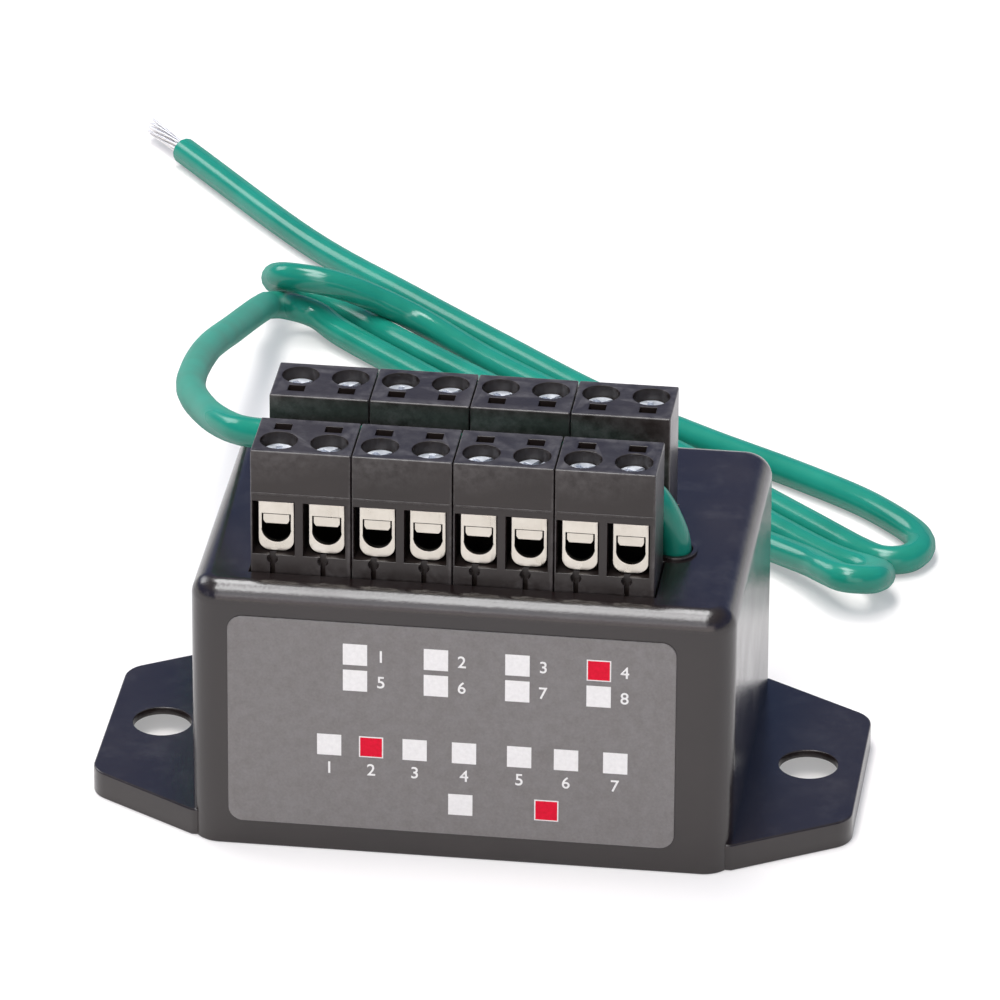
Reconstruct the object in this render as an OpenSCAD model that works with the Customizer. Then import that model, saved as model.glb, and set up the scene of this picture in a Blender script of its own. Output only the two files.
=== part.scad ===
// Surge protective device: a potted black box with two rows of screw terminals,
// two mounting ears and a green ground wire that is folded up behind it.
// Millimetres, +Z up, front face towards -Y, bottom of the box at z = 0.

/* [Housing] */
// Width of the box without its ears
body_w = 54.8; // [54:0.1:80]
// Depth of the box
body_d = 38.8; // [37.6:0.1:60]
// Height of the box
body_h = 29.1; // [24:0.1:40]
// Radius of the upright corners
corner_r = 3; // [2.4:0.1:5]
// Radius along the top edges
top_edge_r = 2.2; // [0.8:0.1:2.4]
// Thickness of the side walls
side_wall = 2.2; // [1.5:0.1:2.6]
// Thickness of the top wall
top_wall = 2; // [1.5:0.1:3]
// How far the potting stands back from the open bottom
potting_recess = 0.8; // [0.3:0.1:2]

/* [Mounting ears] */
// How far an ear reaches out from the side of the box
ear_reach = 11.4; // [10.6:0.1:16]
// Thickness of an ear
ear_t = 2.9; // [2:0.1:5]
// Depth of an ear at its outer end
ear_end_d = 25; // [18:0.1:28]
// Depth of an ear where it meets the box
ear_root_d = 36.4; // [30:0.1:37]
// Radius of the outer corners of an ear
ear_corner_r = 3; // [1:0.1:5]
// Distance of a mounting hole from the side of the box
hole_out = 5.9; // [4.6:0.1:6]
// Diameter of a mounting hole
hole_d = 6; // [3:0.1:6.6]
// Width of the moulded relief under a mounting hole
relief_w = 8.4; // [7:0.1:8.6]
// How far the relief reaches past its round ends' middles, to the front and the back
relief_reach = 4; // [0:0.1:5]
// Skin that is left above the relief
relief_skin = 0.8; // [0.6:0.1:1.6]

/* [Rating label] */
// Width of the label
label_w = 45.1; // [20:0.1:47]
// Height of the label
label_h = 23.1; // [10:0.1:23.5]
// Thickness of the label
label_t = 0.2; // [0.1:0.05:0.4]
// Radius of the label's corners
label_corner_r = 2.5; // [0.5:0.1:4]
// Place of the label's middle to the right of the box's middle
label_x = -0.85; // [-1.8:0.05:1.8]
// Height of the label's middle above the floor
label_z = 14.35; // [12:0.05:15]

/* [Terminal blocks] */
// Distance between two terminals
pitch = 5.08; // [5:0.01:5.2]
// Gap between two blocks of a row
block_gap = 0.1; // [0.05:0.01:0.3]
// Depth of a block
block_d = 7.6; // [7.2:0.1:9]
// Height of a block above the circuit board
block_h = 15.4; // [14:0.1:18]
// Free width between the two rows
row_gap = 5.1; // [4.9:0.1:8]
// Place of the middle of the rows to the right of the box's middle
row_x = -1.3; // [-1.8:0.1:-1]
// Distance of the front wire faces behind the front of the box
row_inset = 3.7; // [3.4:0.05:4]
// Clearance around a row in the top wall
row_clearance = 0.15; // [0.05:0.01:0.4]
// Thickness of the front band above a wire entry
band_t = 0.55; // [0.3:0.05:0.6]
// Extra width of a wire entry beside the clamp
entry_side = 0.5; // [0.15:0.05:0.6]
// Height of the entry above the clamp
entry_over = 0.35; // [0.15:0.05:0.5]
// Thickness of the ledge that a screw head sits on
ledge_t = 1.3; // [0.9:0.1:1.7]
// Width of the probe hole behind a screw
probe_w = 1.7; // [1:0.1:2.4]
// Length of the probe hole
probe_l = 1.3; // [0.8:0.1:1.5]
// Place of the probe hole behind the wire face
probe_y = 5.1; // [5:0.05:5.2]
// Depth of the probe hole
probe_depth = 6; // [3:0.1:6.5]
// Diameter of the keyhole below a wire entry
key_d = 1.1; // [0.6:0.1:1.6]
// Width of the slot below the keyhole
key_slot = 0.5; // [0.3:0.1:0.6]
// Height of the keyhole above the circuit board
key_lift = 3.5; // [3.45:0.05:3.7]
// Place of the keyhole beside the middle of the terminal
key_x = -0.3; // [-0.6:0.1:0.6]
// Depth of the keyhole
key_depth = 0.8; // [0.4:0.1:1.2]

/* [Screws and clamps] */
// Diameter of a screw's thread
screw_d = 2.5; // [2:0.1:2.6]
// Diameter of a screw's head
head_d = 3.6; // [3.2:0.1:3.8]
// Height of a screw's head
head_h = 1.75; // [1.4:0.05:2]
// Bevel around a screw's head
head_bevel = 0.25; // [0.1:0.05:0.4]
// Width of the straight slot in a screw
slot_w = 0.55; // [0.4:0.05:0.8]
// Depth of the straight slot
slot_depth = 0.7; // [0.4:0.05:1]
// Length of the cross arms
cross_l = 2.3; // [1.6:0.1:2.6]
// Depth of the cross
cross_depth = 1; // [0.5:0.05:1.2]
// Clearance around a screw where it turns
screw_clearance = 0.1; // [0.04:0.01:0.12]
// Width of a clamp
clamp_w = 3.6; // [3.5:0.05:3.8]
// Depth of a clamp
clamp_d = 4; // [3.8:0.05:4.05]
// Thickness of a clamp's side walls
clamp_side = 0.325; // [0.25:0.005:0.35]
// Thickness of a clamp's roof, which the screw is threaded through
clamp_roof = 1.3; // [1:0.1:1.5]
// Thickness of a clamp's floor at its lowest point
clamp_floor = 0.96; // [0.6:0.02:1]
// Radius of a clamp's lower corners
clamp_corner_r = 1.2; // [0.4:0.1:1.5]
// How far a clamp stands back from the wire face
clamp_inset = 0.7; // [0.65:0.05:0.75]
// How far a clamp rises when its screw is tightened
clamp_travel = 1.5; // [1:0.1:1.6]
// Clearance around a clamp where it slides
clamp_clearance = 0.15; // [0.1:0.01:0.2]
// Free height for a wire under the contact bar
wire_gap = 2.04; // [1.9:0.02:2.2]

/* [Contacts] */
// Width of a contact
contact_w = 2.6; // [2:0.1:2.6]
// Thickness of the contact bar
bar_t = 1; // [0.8:0.1:1.2]
// Height of the contact bar's underside above the circuit board
bar_lift = 7.1; // [7:0.1:7.4]
// Thickness of the leg behind the clamp
leg_t = 0.9; // [0.6:0.1:1]
// Place of the back of the leg behind the wire face
leg_back = 5.9; // [5.8:0.05:6]
// Width of the pin that goes through the circuit board
pin_w = 1; // [0.8:0.1:1]
// Thickness of the pin
pin_t = 0.8; // [0.6:0.1:0.8]
// How far the pin stands out below the circuit board
pin_below = 2; // [1:0.1:3]
// Clearance of a contact in its block
contact_clearance = 0.05; // [0.03:0.01:0.1]

/* [Circuit board] */
// Thickness of the circuit board
board_t = 1.6; // [1:0.1:2.4]
// Clearance around the circuit board
board_clearance = 0.3; // [0.1:0.05:0.8]
// Diameter of the holes for the contact pins
pin_hole_d = 1.35; // [1.3:0.05:1.6]

/* [Potted components] */
// Diameter of a gas tube's electrodes
tube_d = 8; // [6:0.1:9]
// Diameter of a gas tube's ceramic
tube_ceramic_d = 7.4; // [5:0.1:7.8]
// Length of a gas tube
tube_l = 8; // [6:0.1:9]
// Thickness of a gas tube's end electrodes
tube_end_t = 1; // [0.6:0.1:1.4]
// Distance of the gas tubes from the back wall
tube_inset = 1.7; // [0.5:0.1:2.5]
// Diameter of a diode's body
diode_d = 5; // [3:0.1:5.4]
// Length of a diode's body
diode_l = 6.5; // [4:0.1:6.6]
// Diameter of a resistor's body
resistor_d = 2.4; // [1.6:0.1:3]
// Length of a resistor's body
resistor_l = 4.6; // [3:0.1:4.8]
// Distance of the resistors' leads from the front wall
resistor_inset = 0.2; // [0.1:0.05:0.3]
// Gap between the potted components and the circuit board
stand_off = 0.6; // [0.4:0.1:1.2]
// Diameter of the components' leads
lead_d = 0.8; // [0.5:0.1:1]
// Width of the ground bus
bus_w = 4; // [2:0.1:4.4]
// Thickness of the ground bus
bus_t = 1; // [0.6:0.1:1.4]

/* [Ground wire] */
// Diameter of the wire's insulation
wire_d = 3.1; // [2.4:0.1:3.1]
// Clearance around the wire where it leaves the box
wire_clearance = 0.2; // [0.1:0.05:0.25]
// Width of the raised rim around the wire
rim_w = 0.5; // [0.3:0.1:0.5]
// Height of the raised rim
rim_h = 0.3; // [0.2:0.1:0.6]
// Diameter of the bare strands at the wire's end
strand_d = 1.7; // [1:0.1:2]
// Length of the bare strands
strand_l = 8; // [4:0.1:12]

/* [Hidden] */
$fn = 48;
eps = 0.01;
wire_sides = 8;
blocks = 4;
block_poles = 2;
poles = blocks * block_poles;

// Turn of each screw's slot, from left to right
front_turns = [4, 52, 38, -3, 47, 60, 35, 50];
rear_turns = [42, 55, 2, 48, 36, 51, 40, 12];

// Levels
board_top = body_h - top_wall;
board_bottom = board_top - board_t;
block_top = board_top + block_h;
bar_z = board_top + bar_lift;
bar_top = bar_z + bar_t;
roof_z = bar_top + contact_clearance + 0.05;
clamp_top = roof_z + clamp_roof;
clamp_bottom = bar_z - wire_gap - clamp_floor;
seat_r = clamp_w / 2 - clamp_side;
seat_z = clamp_bottom + clamp_floor + seat_r;
entry_bottom = clamp_bottom - clamp_clearance;
entry_top = clamp_top + entry_over;
pocket_top = clamp_top + clamp_travel + clamp_clearance + contact_clearance;
ledge_top = pocket_top + ledge_t;
screw_tip = bar_top + 0.2;

// Places
cavity_w = body_w - 2 * side_wall;
cavity_d = body_d - 2 * side_wall;
cavity_r = max(corner_r - side_wall, 0.3);
block_w = block_poles * pitch - block_gap;
row_w = blocks * block_poles * pitch - block_gap;
front_face_y = -body_d / 2 + row_inset;
row_mid_y = front_face_y + block_d + row_gap / 2;
rear_face_y = row_mid_y + row_gap / 2 + block_d;
screw_y = clamp_inset + clamp_d / 2;
clamp_back = clamp_inset + clamp_d;
leg_y = leg_back - leg_t / 2;
hole_x = body_w / 2 + hole_out;
ear_end_x = body_w / 2 + ear_reach;
tube_y = body_d / 2 - side_wall - tube_inset - tube_l / 2;
tube_z = board_bottom - stand_off - tube_d / 2;
diode_z = board_bottom - stand_off - diode_d / 2;
resistor_y = -body_d / 2 + side_wall + resistor_inset + lead_d + resistor_l / 2;
resistor_z = board_bottom - stand_off - resistor_d / 2;
bus_z = tube_z - tube_d / 2 - bus_t;

// Route of the wire over the box, from the board and the middle of the gap between
// the rows: out of the rim, left along the gap and down behind the left end.
wire_over_box = [
    [19.9, 0.1, 0], [19.7, 0.1, 3.9], [16.8, 0.1, 8.7], [10.5, 0.1, 11.5],
    [-4, 0.1, 11.9], [-16, 0.1, 12.1], [-21.4, 0.4, 12], [-25.3, 2.4, 11.5],
    [-29.3, 9.6, 9.7]
];

// Route of the wire behind the box, from its back and the floor: down to a first fold,
// a fold on the right, one on the left, the widest on the right and the free end.
wire_behind_box = [
    [-33.4, 1.2, 31.4], [-36, 27.4, 22.5], [-36.6, 51.3, 13.8], [-36.5, 65.3, 9],
    [-36.5, 71.2, 6.8], [-36.7, 75.1, 5.1], [-35.1, 78.2, 3.7], [-31.8, 78.6, 2.6],
    [-28.2, 75.5, 1.9], [-19, 67.4, 1.6], [-8, 57.5, 1.6], [5, 45.7, 1.6],
    [16, 36.1, 1.8], [23.5, 30.2, 2.3], [28.6, 25.2, 3.2], [30.9, 22.2, 3.8],
    [33.1, 20.1, 4.1], [35.8, 20.7, 3.8], [36.7, 23.5, 3], [34.9, 26.5, 2],
    [31, 29.4, 1.6], [25, 34.7, 1.6], [14, 45.2, 1.6], [0, 56.6, 1.6],
    [-12, 66.4, 1.6], [-22, 75.2, 1.6], [-27.4, 80.2, 1.6], [-31.2, 83.1, 1.8],
    [-34.6, 84.1, 2.8], [-36.6, 82.7, 4.4], [-36.6, 80.3, 6.2], [-34.6, 78.3, 7.3],
    [-30.8, 77.7, 7.2], [-27.4, 78.2, 6.1], [-23.5, 78.8, 4.2], [-19, 77.8, 2.5],
    [-11, 71.2, 1.6], [2, 60, 1.6], [16, 47.8, 1.6], [27, 37.6, 1.6],
    [31, 33.8, 1.6], [33.6, 31.4, 1.6], [36.2, 29.7, 1.6], [38.9, 30.3, 1.6],
    [40.1, 32.9, 1.6], [39.3, 36, 1.6], [36.2, 39.8, 1.6], [31.8, 43.8, 1.6],
    [24, 49.2, 1.6], [14, 55.5, 1.6], [2, 64.1, 1.6], [-10, 74.9, 1.6],
    [-22, 86.1, 1.6], [-35.6, 99.3, 1.6], [-53.6, 121.9, 1.6]
];
wire_route = concat(
    [for (p = wire_over_box) p + [0, row_mid_y, board_top]],
    [for (p = wire_behind_box) p + [0, body_d / 2, 0]]
);
wire_exit = wire_route[0];
wire_end = wire_route[len(wire_route) - 1];
wire_before_end = wire_route[len(wire_route) - 2];

function pole_x(i) = (i - (poles + 1) / 2) * pitch;
function block_x(i) = (i - (blocks + 1) / 2) * block_poles * pitch;
function unit(v) = v / norm(v);

// Point of a circle where a straight edge from p touches it, on the outer side
function touch(p, c, r) =
    let (d = p - c, turn = atan2(d[1], d[0]) - acos(r / norm(d)))
    c + r * [cos(turn), sin(turn)];

// The smooth line through the wire's route
function knot(i) =
    i < 0 ? 2 * wire_route[0] - wire_route[1]
    : i < len(wire_route) ? wire_route[i]
    : 2 * wire_end - wire_before_end;
function spline(a, b, c, d, t) =
    0.5 * (2 * b + (c - a) * t + (2 * a - 5 * b + 4 * c - d) * t * t
        + (3 * b - a - 3 * c + d) * t * t * t);
function steps(i) = norm(knot(i + 1) - knot(i)) > 4 * wire_d ? 2 : 1;
wire_line = concat(
    [for (i = [0:len(wire_route) - 2]) for (k = [0:steps(i) - 1])
        spline(knot(i - 1), knot(i), knot(i + 1), knot(i + 2), k / steps(i))],
    [wire_end]
);
rings = len(wire_line);
function heading(i) =
    i == 0 ? [0, 0, 1]
    : i == rings - 1 ? unit(wire_end - wire_before_end)
    : unit(wire_line[i + 1] - wire_line[i - 1]);
function carried(side, i) = unit(side - (side * heading(i)) * heading(i));
wire_sides_at = [for (i = 0, s = [0, 1, 0]; i < rings; s = carried(s, min(i + 1, rings - 1)), i = i + 1) s];

module rounded_rect(w, d, r) {
    square([w - 2 * r, d], center = true);
    square([w, d - 2 * r], center = true);
    for (x = [-1, 1], y = [-1, 1])
        translate([x * (w / 2 - r), y * (d / 2 - r)])
            circle(r = r);
}

// Section of the box's outer edge: upright side, rounded top
module edge_profile() {
    intersection() {
        union() {
            square([corner_r, body_h - top_edge_r]);
            square([corner_r - top_edge_r, body_h]);
            translate([corner_r - top_edge_r, body_h - top_edge_r])
                circle(r = top_edge_r);
        }
        square([corner_r, body_h]);
    }
}

module edge_run(length) {
    translate([-length / 2, 0, 0])
        rotate([90, 0, 90])
            linear_extrude(height = length)
                edge_profile();
}

module box_outside() {
    inner_w = body_w - 2 * corner_r;
    inner_d = body_d - 2 * corner_r;
    translate([-inner_w / 2, -inner_d / 2, 0])
        cube([inner_w, inner_d, body_h]);
    for (turn = [0, 180]) {
        rotate(turn)
            translate([0, inner_d / 2, 0])
                edge_run(inner_w);
        rotate(turn + 90)
            translate([0, inner_w / 2, 0])
                edge_run(inner_d);
        rotate(turn)
            translate([inner_w / 2, inner_d / 2, 0])
                rotate_extrude(angle = 90)
                    edge_profile();
        rotate(turn)
            translate([-inner_w / 2, inner_d / 2, 0])
                rotate(90)
                    rotate_extrude(angle = 90)
                        edge_profile();
    }
}

module ear_outline() {
    root = [body_w / 2, ear_root_d / 2];
    middle = [ear_end_x - ear_corner_r, ear_end_d / 2 - ear_corner_r];
    edge = touch(root, middle, ear_corner_r);
    polygon([
        [0, -ear_root_d / 2], [root[0], -root[1]], [edge[0], -edge[1]], [middle[0], -middle[1]],
        [ear_end_x, -middle[1]], [ear_end_x, middle[1]], middle, edge, root, [0, root[1]]
    ]);
    for (y = [-1, 1])
        translate([middle[0], y * middle[1]])
            circle(r = ear_corner_r);
}

module relief_outline() {
    square([relief_w, 2 * relief_reach], center = true);
    for (y = [-relief_reach, relief_reach])
        translate([0, y])
            circle(d = relief_w);
}

module row_window(face_y, inward) {
    translate([
        row_x - row_w / 2 - row_clearance,
        min(face_y, face_y + inward * block_d) - row_clearance,
        board_top - eps
    ])
        cube([row_w + 2 * row_clearance, block_d + 2 * row_clearance, top_wall + 2 * eps]);
}

module housing() {
    color("#1b1b20")
        difference() {
            union() {
                box_outside();
                for (turn = [0, 180])
                    rotate(turn)
                        linear_extrude(height = ear_t)
                            ear_outline();
                translate([wire_exit[0], wire_exit[1], board_top])
                    cylinder(d = wire_d + 2 * wire_clearance + 2 * rim_w, h = top_wall + rim_h);
            }
            translate([0, 0, -1])
                linear_extrude(height = board_top + 1)
                    rounded_rect(cavity_w, cavity_d, cavity_r);
            row_window(front_face_y, 1);
            row_window(rear_face_y, -1);
            translate([wire_exit[0], wire_exit[1], board_top - 1])
                cylinder(d = wire_d + 2 * wire_clearance, h = top_wall + rim_h + 2);
            for (x = [-hole_x, hole_x])
                translate([x, 0, 0]) {
                    translate([0, 0, -1])
                        cylinder(d = hole_d, h = ear_t + 2);
                    translate([0, 0, -1])
                        linear_extrude(height = ear_t - relief_skin + 1)
                            relief_outline();
                }
        }
}

module gas_tube_shape(i) {
    translate([row_x + block_x(i), tube_y, tube_z]) {
        rotate([90, 0, 0])
            cylinder(d = tube_ceramic_d, h = tube_l, center = true);
        for (y = [-1, 0, 1]) {
            translate([0, y * (tube_l - tube_end_t) / 2, 0])
                rotate([90, 0, 0])
                    cylinder(d = tube_d, h = tube_end_t, center = true);
            translate([0, y * (tube_l - tube_end_t) / 2, 0])
                cylinder(d = lead_d, h = board_bottom - tube_z);
        }
    }
}

// A component with a round body and a lead at each end that goes up to the board
module axial_shape(x, y, z, d, l) {
    translate([x, y, z]) {
        rotate([90, 0, 0])
            cylinder(d = d, h = l, center = true);
        rotate([90, 0, 0])
            cylinder(d = lead_d, h = l + 2 * lead_d, center = true);
        for (side = [-1, 1])
            translate([0, side * (l / 2 + lead_d / 2), -lead_d / 2])
                cylinder(d = lead_d, h = board_bottom - z + lead_d / 2);
    }
}

module diode_shape(i) {
    axial_shape(row_x + block_x(i), row_mid_y, diode_z, diode_d, diode_l);
}

module resistor_shapes() {
    for (i = [1:poles])
        axial_shape(row_x + pole_x(i), resistor_y, resistor_z, resistor_d, resistor_l);
}

module bus_shape() {
    bus_left = row_x + block_x(1) - bus_w / 2;
    bus_right = wire_exit[0] + bus_w / 2;
    translate([bus_left, tube_y - bus_w / 2, bus_z])
        cube([bus_right - bus_left, bus_w, bus_t]);
    translate([bus_right - bus_w, wire_exit[1] - bus_t / 2, bus_z])
        cube([bus_w, tube_y - wire_exit[1], bus_t]);
    translate([bus_right - bus_w, wire_exit[1] - bus_t / 2, bus_z])
        cube([bus_w, bus_t, board_bottom - bus_z]);
}

module at_pole(rear, i) {
    translate([row_x + pole_x(i), rear ? rear_face_y : front_face_y, 0])
        rotate(rear ? 180 : 0)
            children();
}

module at_block(rear, i) {
    translate([row_x + block_x(i), rear ? rear_face_y : front_face_y, 0])
        rotate(rear ? 180 : 0)
            children();
}

module pin() {
    translate([-pin_w / 2, leg_y - pin_t / 2, board_bottom - pin_below])
        cube([pin_w, pin_t, board_t + pin_below]);
}

module potting_compound() {
    color("#26262a")
        difference() {
            translate([0, 0, potting_recess])
                linear_extrude(height = board_bottom - potting_recess)
                    rounded_rect(cavity_w, cavity_d, cavity_r);
            for (i = [1:blocks]) {
                gas_tube_shape(i);
                diode_shape(i);
            }
            resistor_shapes();
            bus_shape();
            for (i = [1:poles]) {
                at_pole(false, i)
                    pin();
                at_pole(true, i)
                    pin();
            }
        }
}

module circuit_board() {
    color("#2f6b3a")
        difference() {
            translate([0, 0, board_bottom])
                linear_extrude(height = board_t)
                    rounded_rect(
                        cavity_w - 2 * board_clearance,
                        cavity_d - 2 * board_clearance,
                        cavity_r
                    );
            for (i = [1:poles]) {
                at_pole(false, i)
                    translate([0, leg_y, board_bottom - 1])
                        cylinder(d = pin_hole_d, h = board_t + 2);
                at_pole(true, i)
                    translate([0, leg_y, board_bottom - 1])
                        cylinder(d = pin_hole_d, h = board_t + 2);
            }
        }
}

module rating_label() {
    color("#77787b")
        translate([label_x, -body_d / 2, label_z])
            rotate([90, 0, 0])
                linear_extrude(height = label_t)
                    rounded_rect(label_w, label_h, label_corner_r);
}

// All that one terminal takes out of its block
module pole_cuts() {
    entry_x = -clamp_w / 2 - entry_side;
    entry_w = clamp_w + entry_side + clamp_clearance;
    translate([entry_x, -1, entry_bottom])
        cube([entry_w, 1 + band_t + eps, entry_top - entry_bottom]);
    translate([entry_x, band_t, entry_bottom])
        cube([entry_w, clamp_back + clamp_clearance - band_t, pocket_top - entry_bottom]);
    translate([0, screw_y, pocket_top - 1])
        cylinder(d = screw_d + 2 * screw_clearance, h = ledge_t + 2);
    translate([0, screw_y, ledge_top])
        cylinder(d = head_d + 2 * screw_clearance, h = block_top - ledge_top + 1);
    translate([-contact_w / 2 - contact_clearance, clamp_back - 0.2, board_top - 1])
        cube([
            contact_w + 2 * contact_clearance,
            leg_back + contact_clearance - clamp_back + 0.2,
            roof_z - board_top + 1
        ]);
    translate([-probe_w / 2, probe_y, block_top - probe_depth])
        cube([probe_w, probe_l, probe_depth + 1]);
    translate([key_x, -1, board_top + key_lift])
        rotate([-90, 0, 0])
            cylinder(d = key_d, h = key_depth + 1);
    translate([key_x - key_slot / 2, -1, board_top - 1])
        cube([key_slot, key_depth + 1, key_lift + 1]);
}

module terminal_block() {
    difference() {
        translate([-block_w / 2, 0, board_top])
            cube([block_w, block_d, block_h]);
        for (i = [1:block_poles])
            translate([(i - (block_poles + 1) / 2) * pitch, 0, 0])
                pole_cuts();
    }
}

module front_terminal_block(i) {
    color("#232227")
        at_block(false, i)
            terminal_block();
}

module rear_terminal_block(i) {
    color("#232227")
        at_block(true, i)
            terminal_block();
}

// Captive screw with a straight slot and a cross, head down on the ledge
module screw(turn) {
    head_top = ledge_top + head_h;
    translate([0, screw_y, 0])
        rotate(turn)
            difference() {
                union() {
                    translate([0, 0, screw_tip])
                        cylinder(d = screw_d, h = ledge_top - screw_tip + eps);
                    translate([0, 0, ledge_top])
                        rotate_extrude()
                            polygon([
                                [0, 0], [head_d / 2, 0], [head_d / 2, head_h - head_bevel],
                                [head_d / 2 - head_bevel, head_h], [0, head_h]
                            ]);
                }
                translate([-head_d, -slot_w / 2, head_top - slot_depth])
                    cube([2 * head_d, slot_w, slot_depth + 1]);
                for (across = [0, 90])
                    rotate(across)
                        translate([-cross_l / 2, -slot_w / 2, head_top - cross_depth])
                            cube([cross_l, slot_w, cross_depth + 1]);
            }
}

module front_screw(i) {
    color("#c9ccd2")
        at_pole(false, i)
            screw(front_turns[i - 1]);
}

module rear_screw(i) {
    color("#c9ccd2")
        at_pole(true, i)
            screw(rear_turns[i - 1]);
}

// Rising clamp: a cage around the contact bar, with a half-round seat for the wire
module clamp() {
    difference() {
        translate([0, clamp_back, 0])
            rotate([90, 0, 0])
                linear_extrude(height = clamp_d)
                    difference() {
                        union() {
                            translate([-clamp_w / 2, clamp_bottom + clamp_corner_r])
                                square([clamp_w, clamp_top - clamp_bottom - clamp_corner_r]);
                            translate([-clamp_w / 2 + clamp_corner_r, clamp_bottom])
                                square([clamp_w - 2 * clamp_corner_r, clamp_corner_r + eps]);
                            for (x = [-1, 1])
                                translate([x * (clamp_w / 2 - clamp_corner_r), clamp_bottom + clamp_corner_r])
                                    circle(r = clamp_corner_r);
                        }
                        translate([-seat_r, seat_z])
                            square([2 * seat_r, roof_z - seat_z]);
                        translate([0, seat_z])
                            circle(r = seat_r);
                    }
        translate([0, screw_y, roof_z - 0.5])
            cylinder(d = screw_d + screw_clearance, h = clamp_roof + 1);
    }
}

module front_clamp(i) {
    color("#dcd6c4")
        at_pole(false, i)
            clamp();
}

module rear_clamp(i) {
    color("#dcd6c4")
        at_pole(true, i)
            clamp();
}

// Contact bar through the clamp, its leg and the pin through the board. The bar's lower
// corners are rounded, so that the seat of a raised clamp closes around them.
module contact() {
    bar_front = clamp_inset + contact_clearance;
    round_r = seat_r - contact_clearance;
    round_z = seat_z + clamp_travel;
    translate([0, leg_back, 0])
        rotate([90, 0, 0])
            linear_extrude(height = leg_back - bar_front)
                intersection() {
                    translate([-contact_w / 2, bar_z])
                        square([contact_w, bar_t]);
                    union() {
                        translate([0, round_z])
                            circle(r = round_r);
                        translate([-round_r, round_z])
                            square([2 * round_r, bar_t]);
                    }
                }
    translate([-contact_w / 2, leg_back - leg_t, board_top])
        cube([contact_w, leg_t, bar_top - board_top]);
    pin();
}

module front_contacts() {
    color("#c8b070")
        for (i = [1:poles])
            at_pole(false, i)
                contact();
}

module rear_contacts() {
    color("#c8b070")
        for (i = [1:poles])
            at_pole(true, i)
                contact();
}

module gas_tube(i) {
    color("#d8d4cc")
        gas_tube_shape(i);
}

module avalanche_diode(i) {
    color("#303034")
        diode_shape(i);
}

module series_resistors() {
    color("#8a6f52")
        resistor_shapes();
}

module ground_bus() {
    color("#b8865a")
        bus_shape();
}

module ground_wire() {
    color("#1f8f74")
        polyhedron(
            points = [
                for (i = [0:rings - 1]) for (k = [0:wire_sides - 1])
                    let (a = 360 * k / wire_sides, u = wire_sides_at[i], v = cross(heading(i), u))
                    wire_line[i] + wire_d / 2 * (cos(a) * u + sin(a) * v)
            ],
            faces = concat(
                [[for (k = [0:wire_sides - 1]) k]],
                [
                    for (i = [0:rings - 2]) for (k = [0:wire_sides - 1])
                        let (n = (k + 1) % wire_sides, a = i * wire_sides, b = a + wire_sides)
                        each [[a + k, b + k, b + n], [a + k, b + n, a + n]]
                ],
                [[for (k = [wire_sides - 1:-1:0]) (rings - 1) * wire_sides + k]]
            )
        );
}

module ground_wire_tip() {
    ahead = wire_end - wire_before_end;
    color("#d0d2d6")
        translate(wire_end)
            rotate([0, 90, atan2(ahead[1], ahead[0])])
                cylinder(d = strand_d, h = strand_l);
}

housing();
potting_compound();
circuit_board();
rating_label();
for (i = [1:blocks]) {
    front_terminal_block(i);
    rear_terminal_block(i);
}
for (i = [1:poles]) {
    front_screw(i);
    rear_screw(i);
    front_clamp(i);
    rear_clamp(i);
}
front_contacts();
rear_contacts();
for (i = [1:blocks]) {
    gas_tube(i);
    avalanche_diode(i);
}
series_resistors();
ground_bus();
ground_wire();
ground_wire_tip();
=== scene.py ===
from math import cos, hypot, pi, radians, sin

import bmesh
import bpy
from mathutils import Matrix, Vector


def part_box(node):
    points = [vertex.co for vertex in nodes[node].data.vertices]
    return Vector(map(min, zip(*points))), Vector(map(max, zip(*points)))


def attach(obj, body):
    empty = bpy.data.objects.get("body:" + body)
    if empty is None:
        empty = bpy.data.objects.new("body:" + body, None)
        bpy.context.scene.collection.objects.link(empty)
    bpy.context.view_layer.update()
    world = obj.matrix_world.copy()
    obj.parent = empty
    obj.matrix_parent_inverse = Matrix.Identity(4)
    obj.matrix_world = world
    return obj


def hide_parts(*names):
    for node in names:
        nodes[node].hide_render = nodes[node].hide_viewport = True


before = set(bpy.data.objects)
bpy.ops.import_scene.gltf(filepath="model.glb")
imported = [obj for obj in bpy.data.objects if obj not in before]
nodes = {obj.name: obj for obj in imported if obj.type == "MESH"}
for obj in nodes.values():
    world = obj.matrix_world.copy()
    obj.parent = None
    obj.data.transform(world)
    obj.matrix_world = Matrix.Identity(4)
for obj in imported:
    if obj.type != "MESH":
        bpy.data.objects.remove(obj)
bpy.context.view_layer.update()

mm = 0.001
print("frame loaded:", len(nodes), "nodes")


def addObject(name, data):
    obj = bpy.data.objects.new(name, data)
    bpy.context.scene.collection.objects.link(obj)
    return obj


# camera at the photograph's angle: degrees, millimetres, focal length in pixels of the frame
camera = dict(turn=7.23, height=26.791, roll=0.375, distance=964.33, target=(1.465, 0, 30.773),
              focal=9556.5, frame=1000, sensor=36, nearest=50, farthest=20000)


def placeCamera(c):
    turn, height, roll = (radians(c[key]) for key in ("turn", "height", "roll"))
    ahead = Vector((-sin(turn) * cos(height), cos(turn) * cos(height), -sin(height)))
    side = Vector((cos(turn), sin(turn), 0))
    top = side.cross(ahead)
    right = side * cos(roll) + top * sin(roll)
    up = top * cos(roll) - side * sin(roll)
    data = bpy.data.cameras.new("camera")
    data.sensor_width = c["sensor"]
    data.lens = c["focal"] * c["sensor"] / c["frame"]
    data.clip_start, data.clip_end = c["nearest"] * mm, c["farthest"] * mm
    cam = addObject("camera", data)
    spot = (Vector(c["target"]) - ahead * c["distance"]) * mm
    cam.matrix_world = Matrix.Translation(spot) @ Matrix((right, up, -ahead)).transposed().to_4x4()
    bpy.context.scene.camera = cam


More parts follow.
